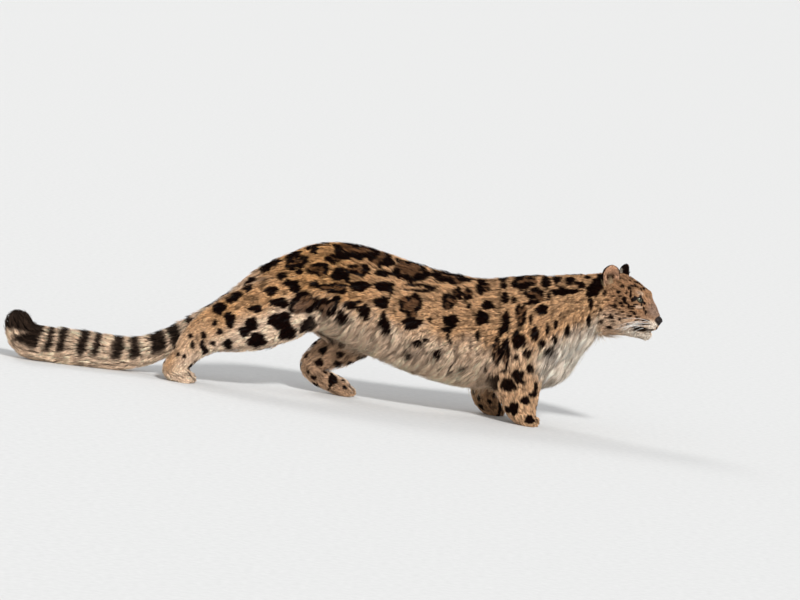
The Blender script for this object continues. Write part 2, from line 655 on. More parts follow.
# Streaks and faded spots, half as dark.
FAINT = [
    [262, 281, 7, 9], [253, 300, 8, 8], [245, 298, 8, 5], [275, 266, 6, 5], [284, 293, 6, 4],
    [351, 296, 10, 5], [394, 308, 3, 18], [433, 301, 7, 3], [472, 329, 7, 4], [409, 347, 4, 12],
    [499, 312, 3, 26], [499, 295, 4, 12], [551, 309, 3, 26], [574, 331, 2.5, 15],
    [564, 318, 2.5, 10], [575, 303, 12, 2.5], [579, 309, 9, 2.5], [570, 312, 7, 2],
    [584, 300, 8, 2.5], [582, 318, 2.5, 12], [567, 300, 8, 2], [492, 281, 8, 4], [473, 315, 4, 8],
    [464, 300, 4, 6], [425, 300, 9, 2.5], [436, 314, 3, 8], [398, 330, 3, 12], [404, 350, 3, 12],
    [423, 352, 3, 10], [431, 360, 3, 10], [441, 358, 3, 12], [456, 352, 3, 12], [470, 345, 3, 12],
    [388, 345, 3, 12], [372, 340, 3, 12], [462, 337, 3, 12], [485, 340, 3, 14], [490, 352, 3, 14],
    [438, 343, 3, 10], [377, 300, 4, 6], [520, 330, 9, 3], [512, 360, 3, 8], [527, 346, 3, 8],
    [557, 348, 3, 7], [560, 318, 3, 8], [341, 285, 5, 7], [305, 283, 4, 6], [306, 270, 5, 4],
    [322, 281, 8, 3], [296, 311, 8, 3], [322, 320, 8, 4], [236, 308, 6, 4], [196, 338, 3, 7],
]
# Bands round the tail: from and to along the picture's width.
TAIL_BANDS = [
    [24, 39], [45, 53], [57, 65], [76, 86], [91, 98], [109, 122], [128, 139], [149, 166],
    [170, 181], [189, 196], [211, 225], [228, 237],
]
# Marks on the right of the head, given to both its sides.
HEAD_MARKS = [
    [601, 277, 10, 14], [597, 284, 12, 18], [592, 291, 13, 15], [624, 299.5, 4.5, 6],
    [620, 303, 5, 2.6], [614, 306, 4.5, 5], [610.5, 317, 4.8, 5], [609, 327, 7, 6],
    [588, 322, 5, 12], [632, 312, 7, 2], [629, 316, 6, 2], [634, 286.5, 10, 3.2],
    [629, 288.5, 3.5, 4], [637, 283, 7, 3], [643, 289, 3, 6], [640, 297, 3, 5],
    [645, 320.5, 9, 1.6], [645, 324, 9, 1.6], [644, 327.3, 8, 1.4], [619, 319, 3.4, 3],
    [600, 310, 4, 4], [600, 322, 4, 6], [627, 324, 4, 2.4], [618, 292, 5, 2.6], [622, 286, 5, 2.6],
    [628, 306, 2.5, 5], [632, 306, 6, 2], [631, 309, 5, 1.8], [634, 314, 4, 2.6],
    [636, 317, 4.5, 1.8], [622, 306, 4, 2], [617, 309, 4, 1.6], [622, 312, 4, 2], [626, 303, 3, 2],
    [604, 293, 4, 6], [615, 300, 3, 1.6], [606, 300, 4, 1.4], [612, 321, 5, 1.6],
    [604, 315, 5, 1.6], [598, 315, 4, 1.6], [596, 306, 5, 1.6], [630.5, 294, 2.4, 8],
    [640.5, 290, 2.4, 6], [626, 293, 3, 2.4], [624, 318, 4, 1.4], [641, 304, 2, 4],
    [643.5, 308, 2, 4], [646, 312, 2.2, 4], [635, 304, 5, 1.8], [633, 299.5, 6, 4],
    [636, 320, 6, 1.4], [638, 323.5, 6, 1.4], [610, 305, 5, 1.4], [620, 296, 4, 1.6],
    [606, 318, 4, 1.4], [616, 314, 4, 1.4], [600, 303, 5, 1.4], [594, 312, 4, 1.6],
    [613, 296, 4, 1.4],
]
# Spots over the crown in the head's own frame [forward, left, long, broad], each made on both sides.
CROWN_MARKS = [
    [36, 5, 12, 4], [22, 12, 12, 5], [6, 6, 12, 6], [8, 21, 11, 5], [-10, 14, 12, 6],
    [-12, 30, 11, 5], [-30, 7, 13, 7], [-32, 23, 12, 6], [27, 23, 10, 4], [48, 8, 8, 3.5],
    [-50, 14, 12, 7],
]


def frame_at(at, axis):
    """Away from the coat, and the direction across it that is nearest to axis."""
    away = slope(body_field, at)[1]
    return away, unit(axis - away * (away @ axis)[:, None])


MARK_SPREAD = 1.12  # hairs carry a mark a little past its root
EDGE_STEP = 3.5  # picture points down from a mark on the back's very edge
RING_WALL = 15.5
SMALLEST_VIEW = 0.45  # a mark seen edge on is made longer by 1 over this at most
FAINTNESS = 0.55
MARK_WAVES = [(2, 0.05), (3, 0.10), (5, 0.07), (8, 0.05)]  # the edge's waves in a turn, and their size


class Mark:
    """A dark spot on the coat, or a broken ring with a brown middle."""

    def __init__(self, at, away, along, half_long, half_high, ring, rng, strength=1.0, wall=RING_WALL):
        self.at, self.away, self.along, self.high = at, away, along, np.cross(away, along)
        self.halves = np.array([max(half_long, 1.2), max(half_high, 1.2)]) * MARK_SPREAD
        self.ring, self.strength, self.wall = ring, strength, wall
        self.waves = rng.uniform(0, 2 * math.pi, 4)
        self.gaps = rng.uniform(0, 2 * math.pi, 2) if ring else []
        self.reach = self.halves.max() * 1.5 + 4

    def cover(self, points):
        """How dark the mark makes each point, and how much of its brown middle each has, 0 to 1."""
        off = points - self.at
        x, y = off @ self.along / self.halves[0], off @ self.high / self.halves[1]
        radius, angle = np.hypot(x, y), np.arctan2(y, x)
        wobble = sum(a * np.sin(n * angle + w) for (n, a), w in zip(MARK_WAVES, self.waves))
        radius = radius + wobble + 5 * (np.abs(off @ self.away) > 60)
        span = 1 / np.hypot(np.cos(angle) / self.halves[0], np.sin(angle) / self.halves[1])
        inside = (1 - radius) * span
        edge = smoothstep(inside, -1.5, 1.5)
        if not self.ring:
            return edge * self.strength, 0 * edge
        wall = self.wall * (1 + 0.25 * np.sin(2 * angle + self.waves[0]))
        hollow = smoothstep(inside, wall - 1.5, wall + 1.5)
        gap = np.max([smoothstep(np.cos(angle - g), 0.97, 0.99) for g in self.gaps], axis=0)
        return edge * (1 - hollow) * (1 - gap), edge * np.maximum(hollow, gap)


def seen_marks(rng):
    """The marks of the tables, as long and high on the coat as they look in the picture."""
    marks = []
    for table, ring, strength in ((RINGS, True, 1), (SOLIDS, False, 1), (FAINT, False, FAINTNESS)):
        table = np.array(table, float)
        at, met = seen_at(table[:, :2])
        at[~met], met[~met] = seen_at(table[~met, :2] + [0, EDGE_STEP])
        away, along = frame_at(at, RIGHTWARD)
        for i in np.flatnonzero(met):
            shown = np.array([along[i] @ RIGHTWARD, np.cross(away[i], along[i]) @ UPWARD])
            shown = np.clip(np.abs(shown), SMALLEST_VIEW, 1)
            halves = table[i, 2:] * PICTURE_SCALE / 2 / shown
            wall = RING_WALL / shown[1]
            marks.append(Mark(at[i], away[i], along[i], *halves, ring, rng, strength, wall))
    return marks


def mirrored(marks, rng):
    """The trunk's marks again on the other side, moved and turned a little."""
    seen = [m for m in marks if BODY["spine"].read(m.at[None])[0][0] < 25 and m.at[1] < -12]
    flip = np.array([1, -1, 1])
    made = []
    for m in seen:
        at = m.at * flip + rng.normal(0, 6, 3) * [1, 0.2, 1]
        at = at[None]
        for _ in range(3):
            reach, away = slope(body_field, at)
            at = at - away * (reach + MARK_DEPTH)[:, None]
        along = unit(m.along * flip + rng.normal(0, 0.18, 3))
        along = unit(along - away[0] * (along @ away[0]))
        halves = m.halves * rng.uniform(0.85, 1.15, 2)
        made.append(Mark(at[0], away[0], along, *halves, m.ring, rng, m.strength, m.wall))
    return made


SCATTER_TRIES = 14000
MARKS_APART = 7


def scattered(surface, marks, rng):
    """Marks on the parts of the coat that the view doesn't show, none touching another."""
    order = rng.permutation(len(surface.at))[:SCATTER_TRIES]
    at, away = surface.at[order], surface.away[order]
    share = {name: values[order] for name, values in surface.coat["share"].items()}
    under, lie = surface.coat["under"][order], surface.lie[order]
    trunk = share["spine"] + share["chest"]
    seen = (-(away @ AHEAD) > 0.2) & (trunk + share["hind_right"] + share["fore_right"] > 0.5)
    legs = share["hind_right"] + share["hind_left"] + share["fore_right"] + share["fore_left"]
    low = smoothstep(-at[:, 2], -150, -40)
    skip = seen | (share["head"] > 0.3) | (share["tail"] > 0.4) | (at[:, 2] < 20)
    skip |= (under > 0.45) & (trunk > 0.5)
    size = np.where(legs > 0.5, 13 - 6 * low, 19)
    found = []
    taken = [m.at for m in marks]
    taken_size = [m.halves.mean() for m in marks]
    for i in np.flatnonzero(~skip):
        own = size[i] * rng.uniform(0.7, 1.25)
        gap = np.linalg.norm(np.array(taken) - at[i], axis=1) - np.array(taken_size) - own
        if gap.min() < MARKS_APART:
            continue
        ring = trunk[i] > 0.6 and under[i] < 0.15 and own > 15
        along = unit(lie[i] - away[i] * (lie[i] @ away[i]))
        half_long = own * rng.uniform(1, 1.35)
        half_high = own * rng.uniform(0.7, 1)
        found.append(Mark(at[i], away[i], along, half_long, half_high, ring, rng))
        taken.append(at[i])
        taken_size.append(own)
    return found


def head_marks(rng):
    """The head's marks on both its sides, and the crown's."""
    made = []
    table = np.array(HEAD_MARKS)
    at, met = seen_at(table[:, :2])
    away, along = frame_at(at, RIGHTWARD)
    for i in np.flatnonzero(met):
        halves = table[i, 2:] * PICTURE_SCALE / 2
        made.append(Mark(at[i], away[i], along[i], *halves, False, rng))
        q = into_head(at[i]) * [1, -1, 1]
        turned = [(v @ HEAD_AXES.T * [1, -1, 1]) @ HEAD_AXES for v in (away[i], along[i])]
        made.append(Mark(out_of_head(q), *turned, *halves, False, rng))
    for forward, left, long, broad in CROWN_MARKS:
        for side in (-1, 1):
            at = out_of_head([[forward, side * left, 50]])
            for _ in range(6):
                reach, away = slope(body_field, at)
                at = at - HEAD_AXES[2] * (reach + 2)[:, None]
            along = unit(np.array([1, -0.25 * side, 0]) @ HEAD_AXES)
            along = unit(along - away[0] * (along @ away[0]))
            made.append(Mark(at[0], away[0], along, long / 2, broad / 2, False, rng))
    return made


def mark_cover(points, marks):
    """The darkest cover of any mark over each point, and how far it lies in a ring's brown middle."""
    order = np.argsort(points[:, 0])
    sorted_points = points[order]
    dark, middle = np.zeros(len(points)), np.zeros(len(points))
    for m in marks:
        first, last = np.searchsorted(sorted_points[:, 0], [m.at[0] - m.reach, m.at[0] + m.reach])
        part = order[first:last]
        part = part[np.linalg.norm(points[part] - m.at, axis=1) < m.reach]
        if len(part):
            cover, hollow = m.cover(points[part])
            dark[part] = np.maximum(dark[part], cover)
            middle[part] = np.maximum(middle[part], hollow)
    return dark, middle


def ripple(points, size, seed):
    """Smooth uneven numbers about 0, with waves of about the given size."""
    rng = np.random.default_rng(seed)
    total = np.zeros(len(points))
    for _ in range(7):
        wave = rng.normal(0, 1, 3)
        wave *= 2 * math.pi / size / np.linalg.norm(wave) * rng.uniform(0.6, 1.5)
        total += np.sin(points @ wave + rng.uniform(0, 6.28))
    return total / 2.6


def linear(red, green, blue):
    """A colour as a screen shows it, 0 to 255, as light."""
    return (np.array([red, green, blue]) / 255.0) ** 2.2


TAN = linear(218, 170, 126)
GOLD = linear(218, 162, 106)
CREAM = linear(248, 214, 184)
WHITE = linear(254, 234, 214)
GREY = linear(186, 172, 154)
BLACK = linear(26, 12, 6)
RING_MIDDLE = linear(88, 54, 34)
INNER_LEG = linear(166, 128, 96)
FACE_TAN = linear(182, 138, 102)
BRIDGE_TAN = linear(168, 138, 118)
EAR_INSIDE = linear(208, 162, 130)
EAR_HOLLOW = linear(48, 27, 18)
EAR_FOOT = linear(176, 150, 118)


def mixed(base, other, share):
    return base + (other - base) * np.asarray(share)[:, None]


def tail_bands(coat, points):
    """Dark bands and the black tip, by place along the tail; the underside stays pale."""
    centres = TAIL_STRAND.centres
    away = centres - VIEW_AIM
    picture_x = PICTURE_MIDDLE[0] + away @ RIGHTWARD / PICTURE_SCALE
    place = coat["place"]["tail"]
    straight = np.argmin(picture_x)
    at = np.interp(place, np.arange(len(centres)), picture_x)
    at = np.where(place > straight - 1, picture_x[straight] - (place - straight + 1) * 6, at)
    side = unit(points - TAIL_STRAND.centre(place))
    at = at + 0.5 * ripple(points, 60, 21) + 2.2 * (1 - side[:, 2])
    dark = np.zeros(len(points))
    for first, last in TAIL_BANDS:
        half = (last - first) / 2 * (1 - 0.35 * smoothstep(-side[:, 2], -0.2, 0.8))
        dark = np.maximum(dark, smoothstep(half - np.abs(at - (first + last) / 2), -0.8, 0.8))
    tip = smoothstep(points[:, 2] + 3 * ripple(points, 30, 22), 72, 84) * (points[:, 0] < -800)
    below = smoothstep(-side[:, 2], 0.1, 0.5)
    return np.maximum(dark * (1 - 0.85 * below), tip)


def paint(points, away, coat, marks):
    """The coat's colour at points: tan above, golder behind, cream below, with its markings."""
    share, q = coat["share"], coat["head"]
    trunk = share["spine"] + share["chest"]
    legs = share["hind_right"] + share["hind_left"] + share["fore_right"] + share["fore_left"]
    uneven = ripple(points, 90, 3)
    up = away[:, 2]
    fore = share["fore_right"] + share["fore_left"]
    neck = smoothstep(points[:, 0], 470, 560)
    below = coat["under"] - 0.15 * up + 0.12 * uneven - 0.35 * neck
    pale = smoothstep(below, -0.15, 0.55) * (1 - 0.8 * fore)
    colour = mixed(np.tile(TAN, (len(points), 1)), CREAM, pale)
    rear = share["hind_right"] + share["hind_left"]
    thigh = rear * smoothstep(points[:, 0], -330, -230)
    gold = smoothstep(-points[:, 0], -120, 60) * (1 - pale) * (0.8 - 0.5 * thigh)
    colour = mixed(colour, GOLD, gold * (1 - share["tail"]))
    leg_pale = legs * smoothstep(np.abs(away[:, 1]) * -1 + 0.35 * (1 - up), -0.6, 0.3)
    colour = mixed(colour, CREAM, leg_pale * (0.75 - 0.6 * fore))
    inner = legs * smoothstep(-away[:, 1] * np.sign(points[:, 1]), 0.1, 0.7)
    colour = mixed(colour, INNER_LEG, inner * 0.8)
    colour = mixed(colour, CREAM, share["tail"] * 0.85 * smoothstep(-points[:, 0], 150, 330))
    chest = smoothstep(coat["under"], 0.1, 0.6) * smoothstep(points[:, 0], 500, 560) * trunk
    colour = mixed(colour, WHITE, chest)
    head = smoothstep(share["head"], 0.25, 0.7)
    face = paint_face(q)
    colour = colour + (face - colour) * head[:, None]
    dark, middle = mark_cover(points, marks)
    fade = 1 - 0.5 * smoothstep(coat["under"], 0.6, 0.95) * trunk
    colour = mixed(colour, RING_MIDDLE, middle * 0.85 * (1 - head))
    colour = mixed(colour, BLACK, np.maximum(dark * fade, 0.75 * toe_creases(points)))
    colour = mixed(colour, BLACK, tail_bands(coat, points) * smoothstep(share["tail"], 0.3, 0.6) * 0.97)
    return colour


def paint_face(q):
    """Tan head, greyer on the bridge, pale round the eyes, muzzle and chin, dark lips and eye rims."""
    folded = np.abs(q[:, 1])
    colour = np.tile(FACE_TAN, (len(q), 1))
    bridge = smoothstep(q[:, 0], 60, 100) * smoothstep(q[:, 2], -40, -15)
    colour = mixed(colour, BRIDGE_TAN, bridge)
    colour = mixed(colour, CREAM, smoothstep(-q[:, 2], 20, 66) * 0.6)
    colour = mixed(colour, WHITE, smoothstep(-q[:, 2], 68, 86) * smoothstep(q[:, 0], 10, 60) * 0.9)
    muzzle = smoothstep(q[:, 0], 84, 104) * smoothstep(-q[:, 2], 30, 44) * smoothstep(folded, 3, 10)
    colour = mixed(colour, WHITE, muzzle * 0.85)
    for sign in (-1, 1):
        near = q - EYE_AT * [1, sign, 1]
        above = np.linalg.norm((near - [4, 4 * sign, 19]) / [14, 9, 7], axis=1)
        below = np.linalg.norm((near - [6, 0, -19]) / [14, 14, 6], axis=1)
        colour = mixed(colour, CREAM, (1 - smoothstep(above, 0.3, 1.4)) * 0.6)
        colour = mixed(colour, CREAM, (1 - smoothstep(below, 0.3, 1.4)) * 0.7)
        ball = np.linalg.norm(near, axis=1)
        rim = (1 - smoothstep(lid_opening(q, sign), 2.6, 4.2)) * (ball < 24)
        colour = mixed(colour, BLACK, rim)
    colour = mixed(colour, BLACK, 1 - smoothstep(nose_reach(q), 0.95, 1.15))
    thick = 2.4 + 4.4 * smoothstep(-q[:, 0], -102, -84)
    lip = (1 - smoothstep(np.abs(lip_height(q) + 1.2) - thick, -1, 1)) * lip_span(q)
    colour = mixed(colour, BLACK, np.maximum(lip, cleft(q) * 0.8) * 0.95)
    return colour


def nose_reach(q):
    """1 on the nose's own surface, less inside it."""
    return np.linalg.norm((q - NOSE_AT) / [NOSE_LONG, NOSE_WIDE, NOSE_TALL], axis=1)


def lip_height(q):
    """Height above the mouth's line: high in the middle, low under the pads, down to its corners."""
    back = np.clip((MOUTH_FRONT - q[:, 0]) / (MOUTH_FRONT - MOUTH_CORNER[0]), 0, 1.2)
    aside = smoothstep(np.abs(q[:, 1]), 1, 15)
    return q[:, 2] - (-53 - 7 * aside - 13 * back**0.9)


def lip_span(q):
    """1 along the mouth, 0 behind its corners."""
    return smoothstep(q[:, 0], MOUTH_CORNER[0] - 2, MOUTH_CORNER[0] + 8)


def cleft(q):
    """The upright groove between the nose and the middle of the mouth, 1 at its bottom."""
    groove = np.exp(-((q[:, 1] / CLEFT_HALF_WIDE) ** 2)) * (q[:, 0] > 95)
    return groove * smoothstep(-q[:, 2], 36, 41) * smoothstep(q[:, 2], -56, -52)


# The coat: tufts as slim closed spindles that lie along the skin, in locks.

class Surface:
    """The skin's triangles, with what the coat needs at each of its corners."""

    def __init__(self, mesh, coat=None, lie=None):
        self.at = vertices_of(mesh) / MM
        corners = np.empty(len(mesh.polygons) * 3, np.int32)
        mesh.polygons.foreach_get("vertices", corners)
        self.corners = corners.reshape(-1, 3)
        a, b, c = (self.at[self.corners[:, i]] for i in range(3))
        face = np.cross(b - a, c - a)
        self.area = np.linalg.norm(face, axis=1) / 2
        away = np.zeros_like(self.at)
        for i in range(3):
            np.add.at(away, self.corners[:, i], face)
        self.away = unit(away)
        self.coat = coat
        lie = coat["lie"] if lie is None else lie
        self.lie = unit(lie - self.away * (lie * self.away).sum(1)[:, None])

    def at_faces(self, values):
        return values[self.corners].mean(1)


LOCK_STRETCH = 2.8  # how many times longer than broad a lock is
DARK_LOCKS = 0.2  # the share of darker locks
STRAYS = 0.06  # the share of slim tufts that stand off the coat
TIP_REACH = 5  # no tip stands further outside the coat's outline
ROOT_SUNK = 1.8
TUFT_CLEAR = 0.5  # above the floor
# A tuft: its foot, three points round its middle and its tip, each with a shade and a place on the map.
TUFT_FACES = [[2, 1, 0], [3, 2, 0], [1, 3, 0], [1, 2, 4], [2, 3, 4], [3, 1, 4]]
TUFT_SHADES = [0.45, 0.84, 0.92, 0.84, 1.2]
TUFT_PATCH = [[0, -1], [-1, 0], [0, 0], [1, 0], [0, 1]]
OFBAKE_PATCH = 0.003


def locks_of(root, lie, seeds):
    """The lock each tuft belongs to: its nearest seed, where distance along the lie counts for less."""
    tree = KDTree(len(seeds))
    for i, seed in enumerate(seeds):
        tree.insert(seed, i)
    tree.balance()
    near = np.array([[i for _, i, _ in tree.find_n(p, 7)] for p in root])
    off = seeds[near] - root[:, None]
    along = (off * lie[:, None]).sum(2)
    reach = (off**2).sum(2) - along**2 * (1 - 1 / LOCK_STRETCH**2)
    return near[np.arange(len(root)), reach.argmin(1)]


def grow(
    name, surface, weight, count, hair, depth, width, colour_at, unwrap, rng, gather, clump, settle=None,
):
    """One coat piece: count tufts over the faces, as many on each as its area times weight.

    clump is how many tufts share a lock, and gather how far their tips draw together.
    """
    chosen = np.cumsum(surface.area * np.maximum(surface.at_faces(weight), 0))
    face = np.searchsorted(chosen, rng.random(count) * chosen[-1])
    share = rng.random((count, 2))
    share = np.where(share.sum(1, keepdims=True) > 1, 1 - share, share)
    share = np.column_stack([share, 1 - share.sum(1)])

    def read(values):
        return np.einsum("ij,ij...->i...", share, values[surface.corners[face]])

    root, away, lie = read(surface.at), unit(read(surface.away)), read(surface.lie)
    length, tall, broad = read(hair), read(depth), read(width)

    seeds = rng.choice(count, max(count // clump, 1), replace=False)
    group = locks_of(root, lie, root[seeds])
    turned = rng.normal(0, math.radians(9), len(seeds))[group] + rng.normal(0, math.radians(6), count)
    long = rng.normal(1, 0.13, len(seeds))[group] * rng.normal(1, 0.12, count)
    length = length * np.clip(long, 0.55, 1.4)
    lie = unit(lie - away * (lie * away).sum(1)[:, None])
    side = np.cross(away, lie)
    lie = unit(lie * np.cos(turned)[:, None] + side * np.sin(turned)[:, None])
    side = np.cross(away, lie)
    stray = rng.random(count) < STRAYS
    lift = np.clip(rng.normal(0.85, 0.15, count) * rng.normal(1, 0.25, len(seeds))[group], 0.2, 1.3)
    height = tall * np.where(stray, rng.uniform(1.3, 2.1, count), lift)
    height = np.minimum(height, length * 0.6)
    broad = np.where(stray, broad * 0.55, broad)
    across = np.sqrt(length**2 - height**2)
    path = []
    for t in (0.5, 1.0):
        rise = height * (1 - (1 - t) ** 1.9)
        at = root + lie * (across * t)[:, None] + away * rise[:, None]
        if settle is not None:
            at = at + away * np.clip(rise - tall - settle(at), -28, 7)[:, None]
        path.append(at)
    middle, tip = path
    gathered = tip[seeds][group] - tip
    gathered -= lie * 0.8 * (gathered * lie).sum(1)[:, None]
    pull = (gather * rng.uniform(0.5, 1.2, count))[:, None]
    middle = middle + gathered * pull * 0.3
    tip = tip + gathered * pull
    if settle is not None:
        tip = tip - away * np.clip(settle(tip) - TIP_REACH, 0, 30)[:, None]

    half = (broad * rng.uniform(0.8, 1.2, count) / 2)[:, None]
    foot = root - away * ROOT_SUNK
    belt = [middle + side * half, middle + away * half * 0.6, middle - side * half]
    points = np.stack([foot, *belt, tip], 1)
    points[..., 2] = np.maximum(points[..., 2], TUFT_CLEAR)

    inner = colour_at(middle * 0.7 + tip * 0.3, away, read)
    outer = colour_at(tip * 0.85 + middle * 0.15, away, read)
    shade = rng.normal(1.04, 0.16, len(seeds)) * np.where(rng.random(len(seeds)) < DARK_LOCKS, 0.55, 1)
    uneven = np.clip(rng.normal(1, 0.11, count) * shade[group], 0.45, 1.4)[:, None]
    tints = [inner * uneven * k for k in TUFT_SHADES[:-1]] + [outer * uneven * TUFT_SHADES[-1]]
    tints = np.stack(tints, 1)

    triangles = (np.array(TUFT_FACES)[None] + np.arange(count)[:, None, None] * 5).reshape(-1, 3)
    spread = unwrap(root, read)[:, None] + np.array(TUFT_PATCH)[None] * OFBAKE_PATCH / 2
    return coat_mesh(name, points.reshape(-1, 3), triangles, tints.reshape(-1, 3), spread.reshape(-1, 2))


def coat_mesh(name, points, triangles, tints, unwrap):
    mesh = bpy.data.meshes.new(name)
    mesh.vertices.add(len(points))
    mesh.vertices.foreach_set("co", ((points + OFFSET) * MM).ravel())
    mesh.loops.add(triangles.size)
    mesh.loops.foreach_set("vertex_index", triangles.ravel().astype(np.int32))
    mesh.polygons.add(len(triangles))
    mesh.polygons.foreach_set("loop_start", np.arange(0, triangles.size, 3, dtype=np.int32))
    mesh.polygons.foreach_set("use_smooth", np.ones(len(triangles), bool))
    mesh.update(calc_edges=True)
    tint_points(mesh, tints)
    mesh.uv_layers.new(name="OFBake").data.foreach_set("uv", unwrap[triangles.ravel()].ravel())
    return link(name, mesh)


def tint_points(mesh, tints):
    tint = mesh.color_attributes.new("Coat", "FLOAT_COLOR", "POINT")
    tint.data.foreach_set("color", np.column_stack([np.clip(tints, 0, 1), np.ones(len(tints))]).ravel())


def body_unwrap(surface):
    """The skin laid out flat: a tile for each strand, along it and round it, and one for the head."""
    names = [*STRANDS, "head"]
    columns = 3

    def unwrap(root, read):
        shares = np.stack([read(surface.coat["share"][n]) for n in names])
        main = shares.argmax(0)
        out = np.zeros((len(root), 2))
        for k, n in enumerate(names):
            rows = np.flatnonzero(main == k)
            if not len(rows):
                continue
            if n == "head":
                q = into_head(root[rows]) - [10, 0, -20]
                u = np.arctan2(q[:, 1], q[:, 2]) / math.tau + 0.5
                v = np.arctan2(q[:, 0], np.hypot(q[:, 1], q[:, 2])) / math.pi + 0.5
            else:
                limb = STRANDS[n]
                place = limb.read(root[rows])[1]
                off = root[rows] - limb.centre(place)
                forward = limb.tangent(place)
                lift = unit(np.cross(forward, [0, 1, 0]))
                u = np.arctan2(off[:, 1], (off * lift).sum(1)) / math.tau + 0.5
                v = place / (len(limb.centres) - 1)
            tile = np.array([k % columns, k // columns]) / columns
            out[rows] = tile + (0.02 + 0.96 * np.stack([u, v], 1)) / columns
        return out

    return unwrap


# Materials

def material(name):
    made = bpy.data.materials.new(name)
    made.use_nodes = True
    return made, made.node_tree, made.node_tree.nodes["Principled BSDF"]


def add_node(tree, kind, **settings):
    made = tree.nodes.new(kind)
    for key, value in settings.items():
        if hasattr(made, key):
            setattr(made, key, value)
        else:
            made.inputs[key.replace("_", " ")].default_value = value
    return made


def coat_material(name, grain_scale, detail, roughness, grain_range, specular, bumpy):
    """The coat's own colours under a fine grain."""
    made, tree, shader = material(name)
    tint = add_node(tree, "ShaderNodeVertexColor", layer_name="Coat")
    where = add_node(tree, "ShaderNodeTexCoord")
    grain = add_node(tree, "ShaderNodeTexNoise", Scale=grain_scale, Detail=detail, Roughness=roughness)
    low, high = grain_range
    shade = add_node(tree, "ShaderNodeMapRange", From_Min=0.3, From_Max=0.7, To_Min=low, To_Max=high)
    blend = add_node(tree, "ShaderNodeMix", data_type="RGBA", blend_type="MULTIPLY")
    blend.inputs["Factor"].default_value = 1
    tree.links.new(where.outputs["Object"], grain.inputs["Vector"])
    tree.links.new(grain.outputs["Fac"], shade.inputs["Value"])
    tree.links.new(tint.outputs["Color"], blend.inputs["A"])
    tree.links.new(shade.outputs["Result"], blend.inputs["B"])
    tree.links.new(blend.outputs["Result"], shader.inputs["Base Color"])
    shader.inputs["Roughness"].default_value = 0.75
    shader.inputs["Specular IOR Level"].default_value = specular
    if bumpy:
        bump = add_node(tree, "ShaderNodeBump", Strength=0.5, Distance=0.0008)
        tree.links.new(grain.outputs["Fac"], bump.inputs["Height"])
        tree.links.new(bump.outputs["Normal"], shader.inputs["Normal"])
    return made


def fur_material():
    return coat_material("fur", 420.0, 3.0, 0.6, (0.84, 1.12), 0.05, False)


def skin_material():
    return coat_material("skin under the fur", 650.0, 4.0, 0.65, (0.62, 1.0), 0.2, True)


def nose_material():
    made, tree, shader = material("nose leather")
    where = add_node(tree, "ShaderNodeTexCoord")
    cells = add_node(tree, "ShaderNodeTexVoronoi", Scale=900.0)
    ramp = add_node(tree, "ShaderNodeValToRGB")
    ramp.color_ramp.elements[0].color = (0.006, 0.004, 0.004, 1)
    ramp.color_ramp.elements[1].color = (0.022, 0.014, 0.012, 1)
    bump = add_node(tree, "ShaderNodeBump", Strength=0.45, Distance=0.0004)
    tree.links.new(where.outputs["Object"], cells.inputs["Vector"])
    tree.links.new(cells.outputs["Distance"], ramp.inputs["Fac"])
    tree.links.new(cells.outputs["Distance"], bump.inputs["Height"])
    tree.links.new(ramp.outputs["Color"], shader.inputs["Base Color"])
    tree.links.new(bump.outputs["Normal"], shader.inputs["Normal"])
    shader.inputs["Roughness"].default_value = 0.5
    shader.inputs["Specular IOR Level"].default_value = 0.15
    return made


IRIS_ANGLE = math.radians(55)  # from the gaze to where the rings below end
EYE_BULGE = 0.07  # the cornea's rise over the ball, as a share of its radius
# From the middle of the gaze outwards: pupil, iris, its dark rim and the ball beyond.
EYE_RINGS = [
    (0.0, (0.004, 0.004, 0.004, 1)), (0.26, (0.004, 0.004, 0.004, 1)),
    (0.29, (0.05, 0.052, 0.02, 1)), (0.55, (0.11, 0.105, 0.055, 1)),
    (0.78, (0.065, 0.06, 0.032, 1)), (0.88, (0.02, 0.02, 0.012, 1)),
    (1.0, (0.02, 0.015, 0.012, 1)),
]


def eye_material():
    made, tree, shader = material("eye")
    ring = add_node(tree, "ShaderNodeAttribute", attribute_name="Gaze")
    where = add_node(tree, "ShaderNodeTexCoord")
    fibres = add_node(tree, "ShaderNodeTexNoise", Scale=900.0, Detail=5.0)
    ramp = add_node(tree, "ShaderNodeValToRGB")
    elements = ramp.color_ramp.elements
    while len(elements) < len(EYE_RINGS):
        elements.new(0.5)
    for element, (position, colour) in zip(elements, EYE_RINGS):
        element.position = position
        element.color = colour
    blend = add_node(tree, "ShaderNodeMix", data_type="RGBA", blend_type="MULTIPLY")
    blend.inputs["Factor"].default_value = 0.5
    shade = add_node(tree, "ShaderNodeMapRange", From_Min=0.3, From_Max=0.7, To_Min=0.5, To_Max=1.4)
    tree.links.new(where.outputs["Object"], fibres.inputs["Vector"])
    tree.links.new(fibres.outputs["Fac"], shade.inputs["Value"])
    tree.links.new(ring.outputs["Fac"], ramp.inputs["Fac"])
    tree.links.new(ramp.outputs["Color"], blend.inputs["A"])
    tree.links.new(shade.outputs["Result"], blend.inputs["B"])
    tree.links.new(blend.outputs["Result"], shader.inputs["Base Color"])
    shader.inputs["Roughness"].default_value = 0.12
    shader.inputs["Specular IOR Level"].default_value = 0.2
    shader.inputs["Coat Weight"].default_value = 0.7
    shader.inputs["Coat Roughness"].default_value = 0.02
    return made


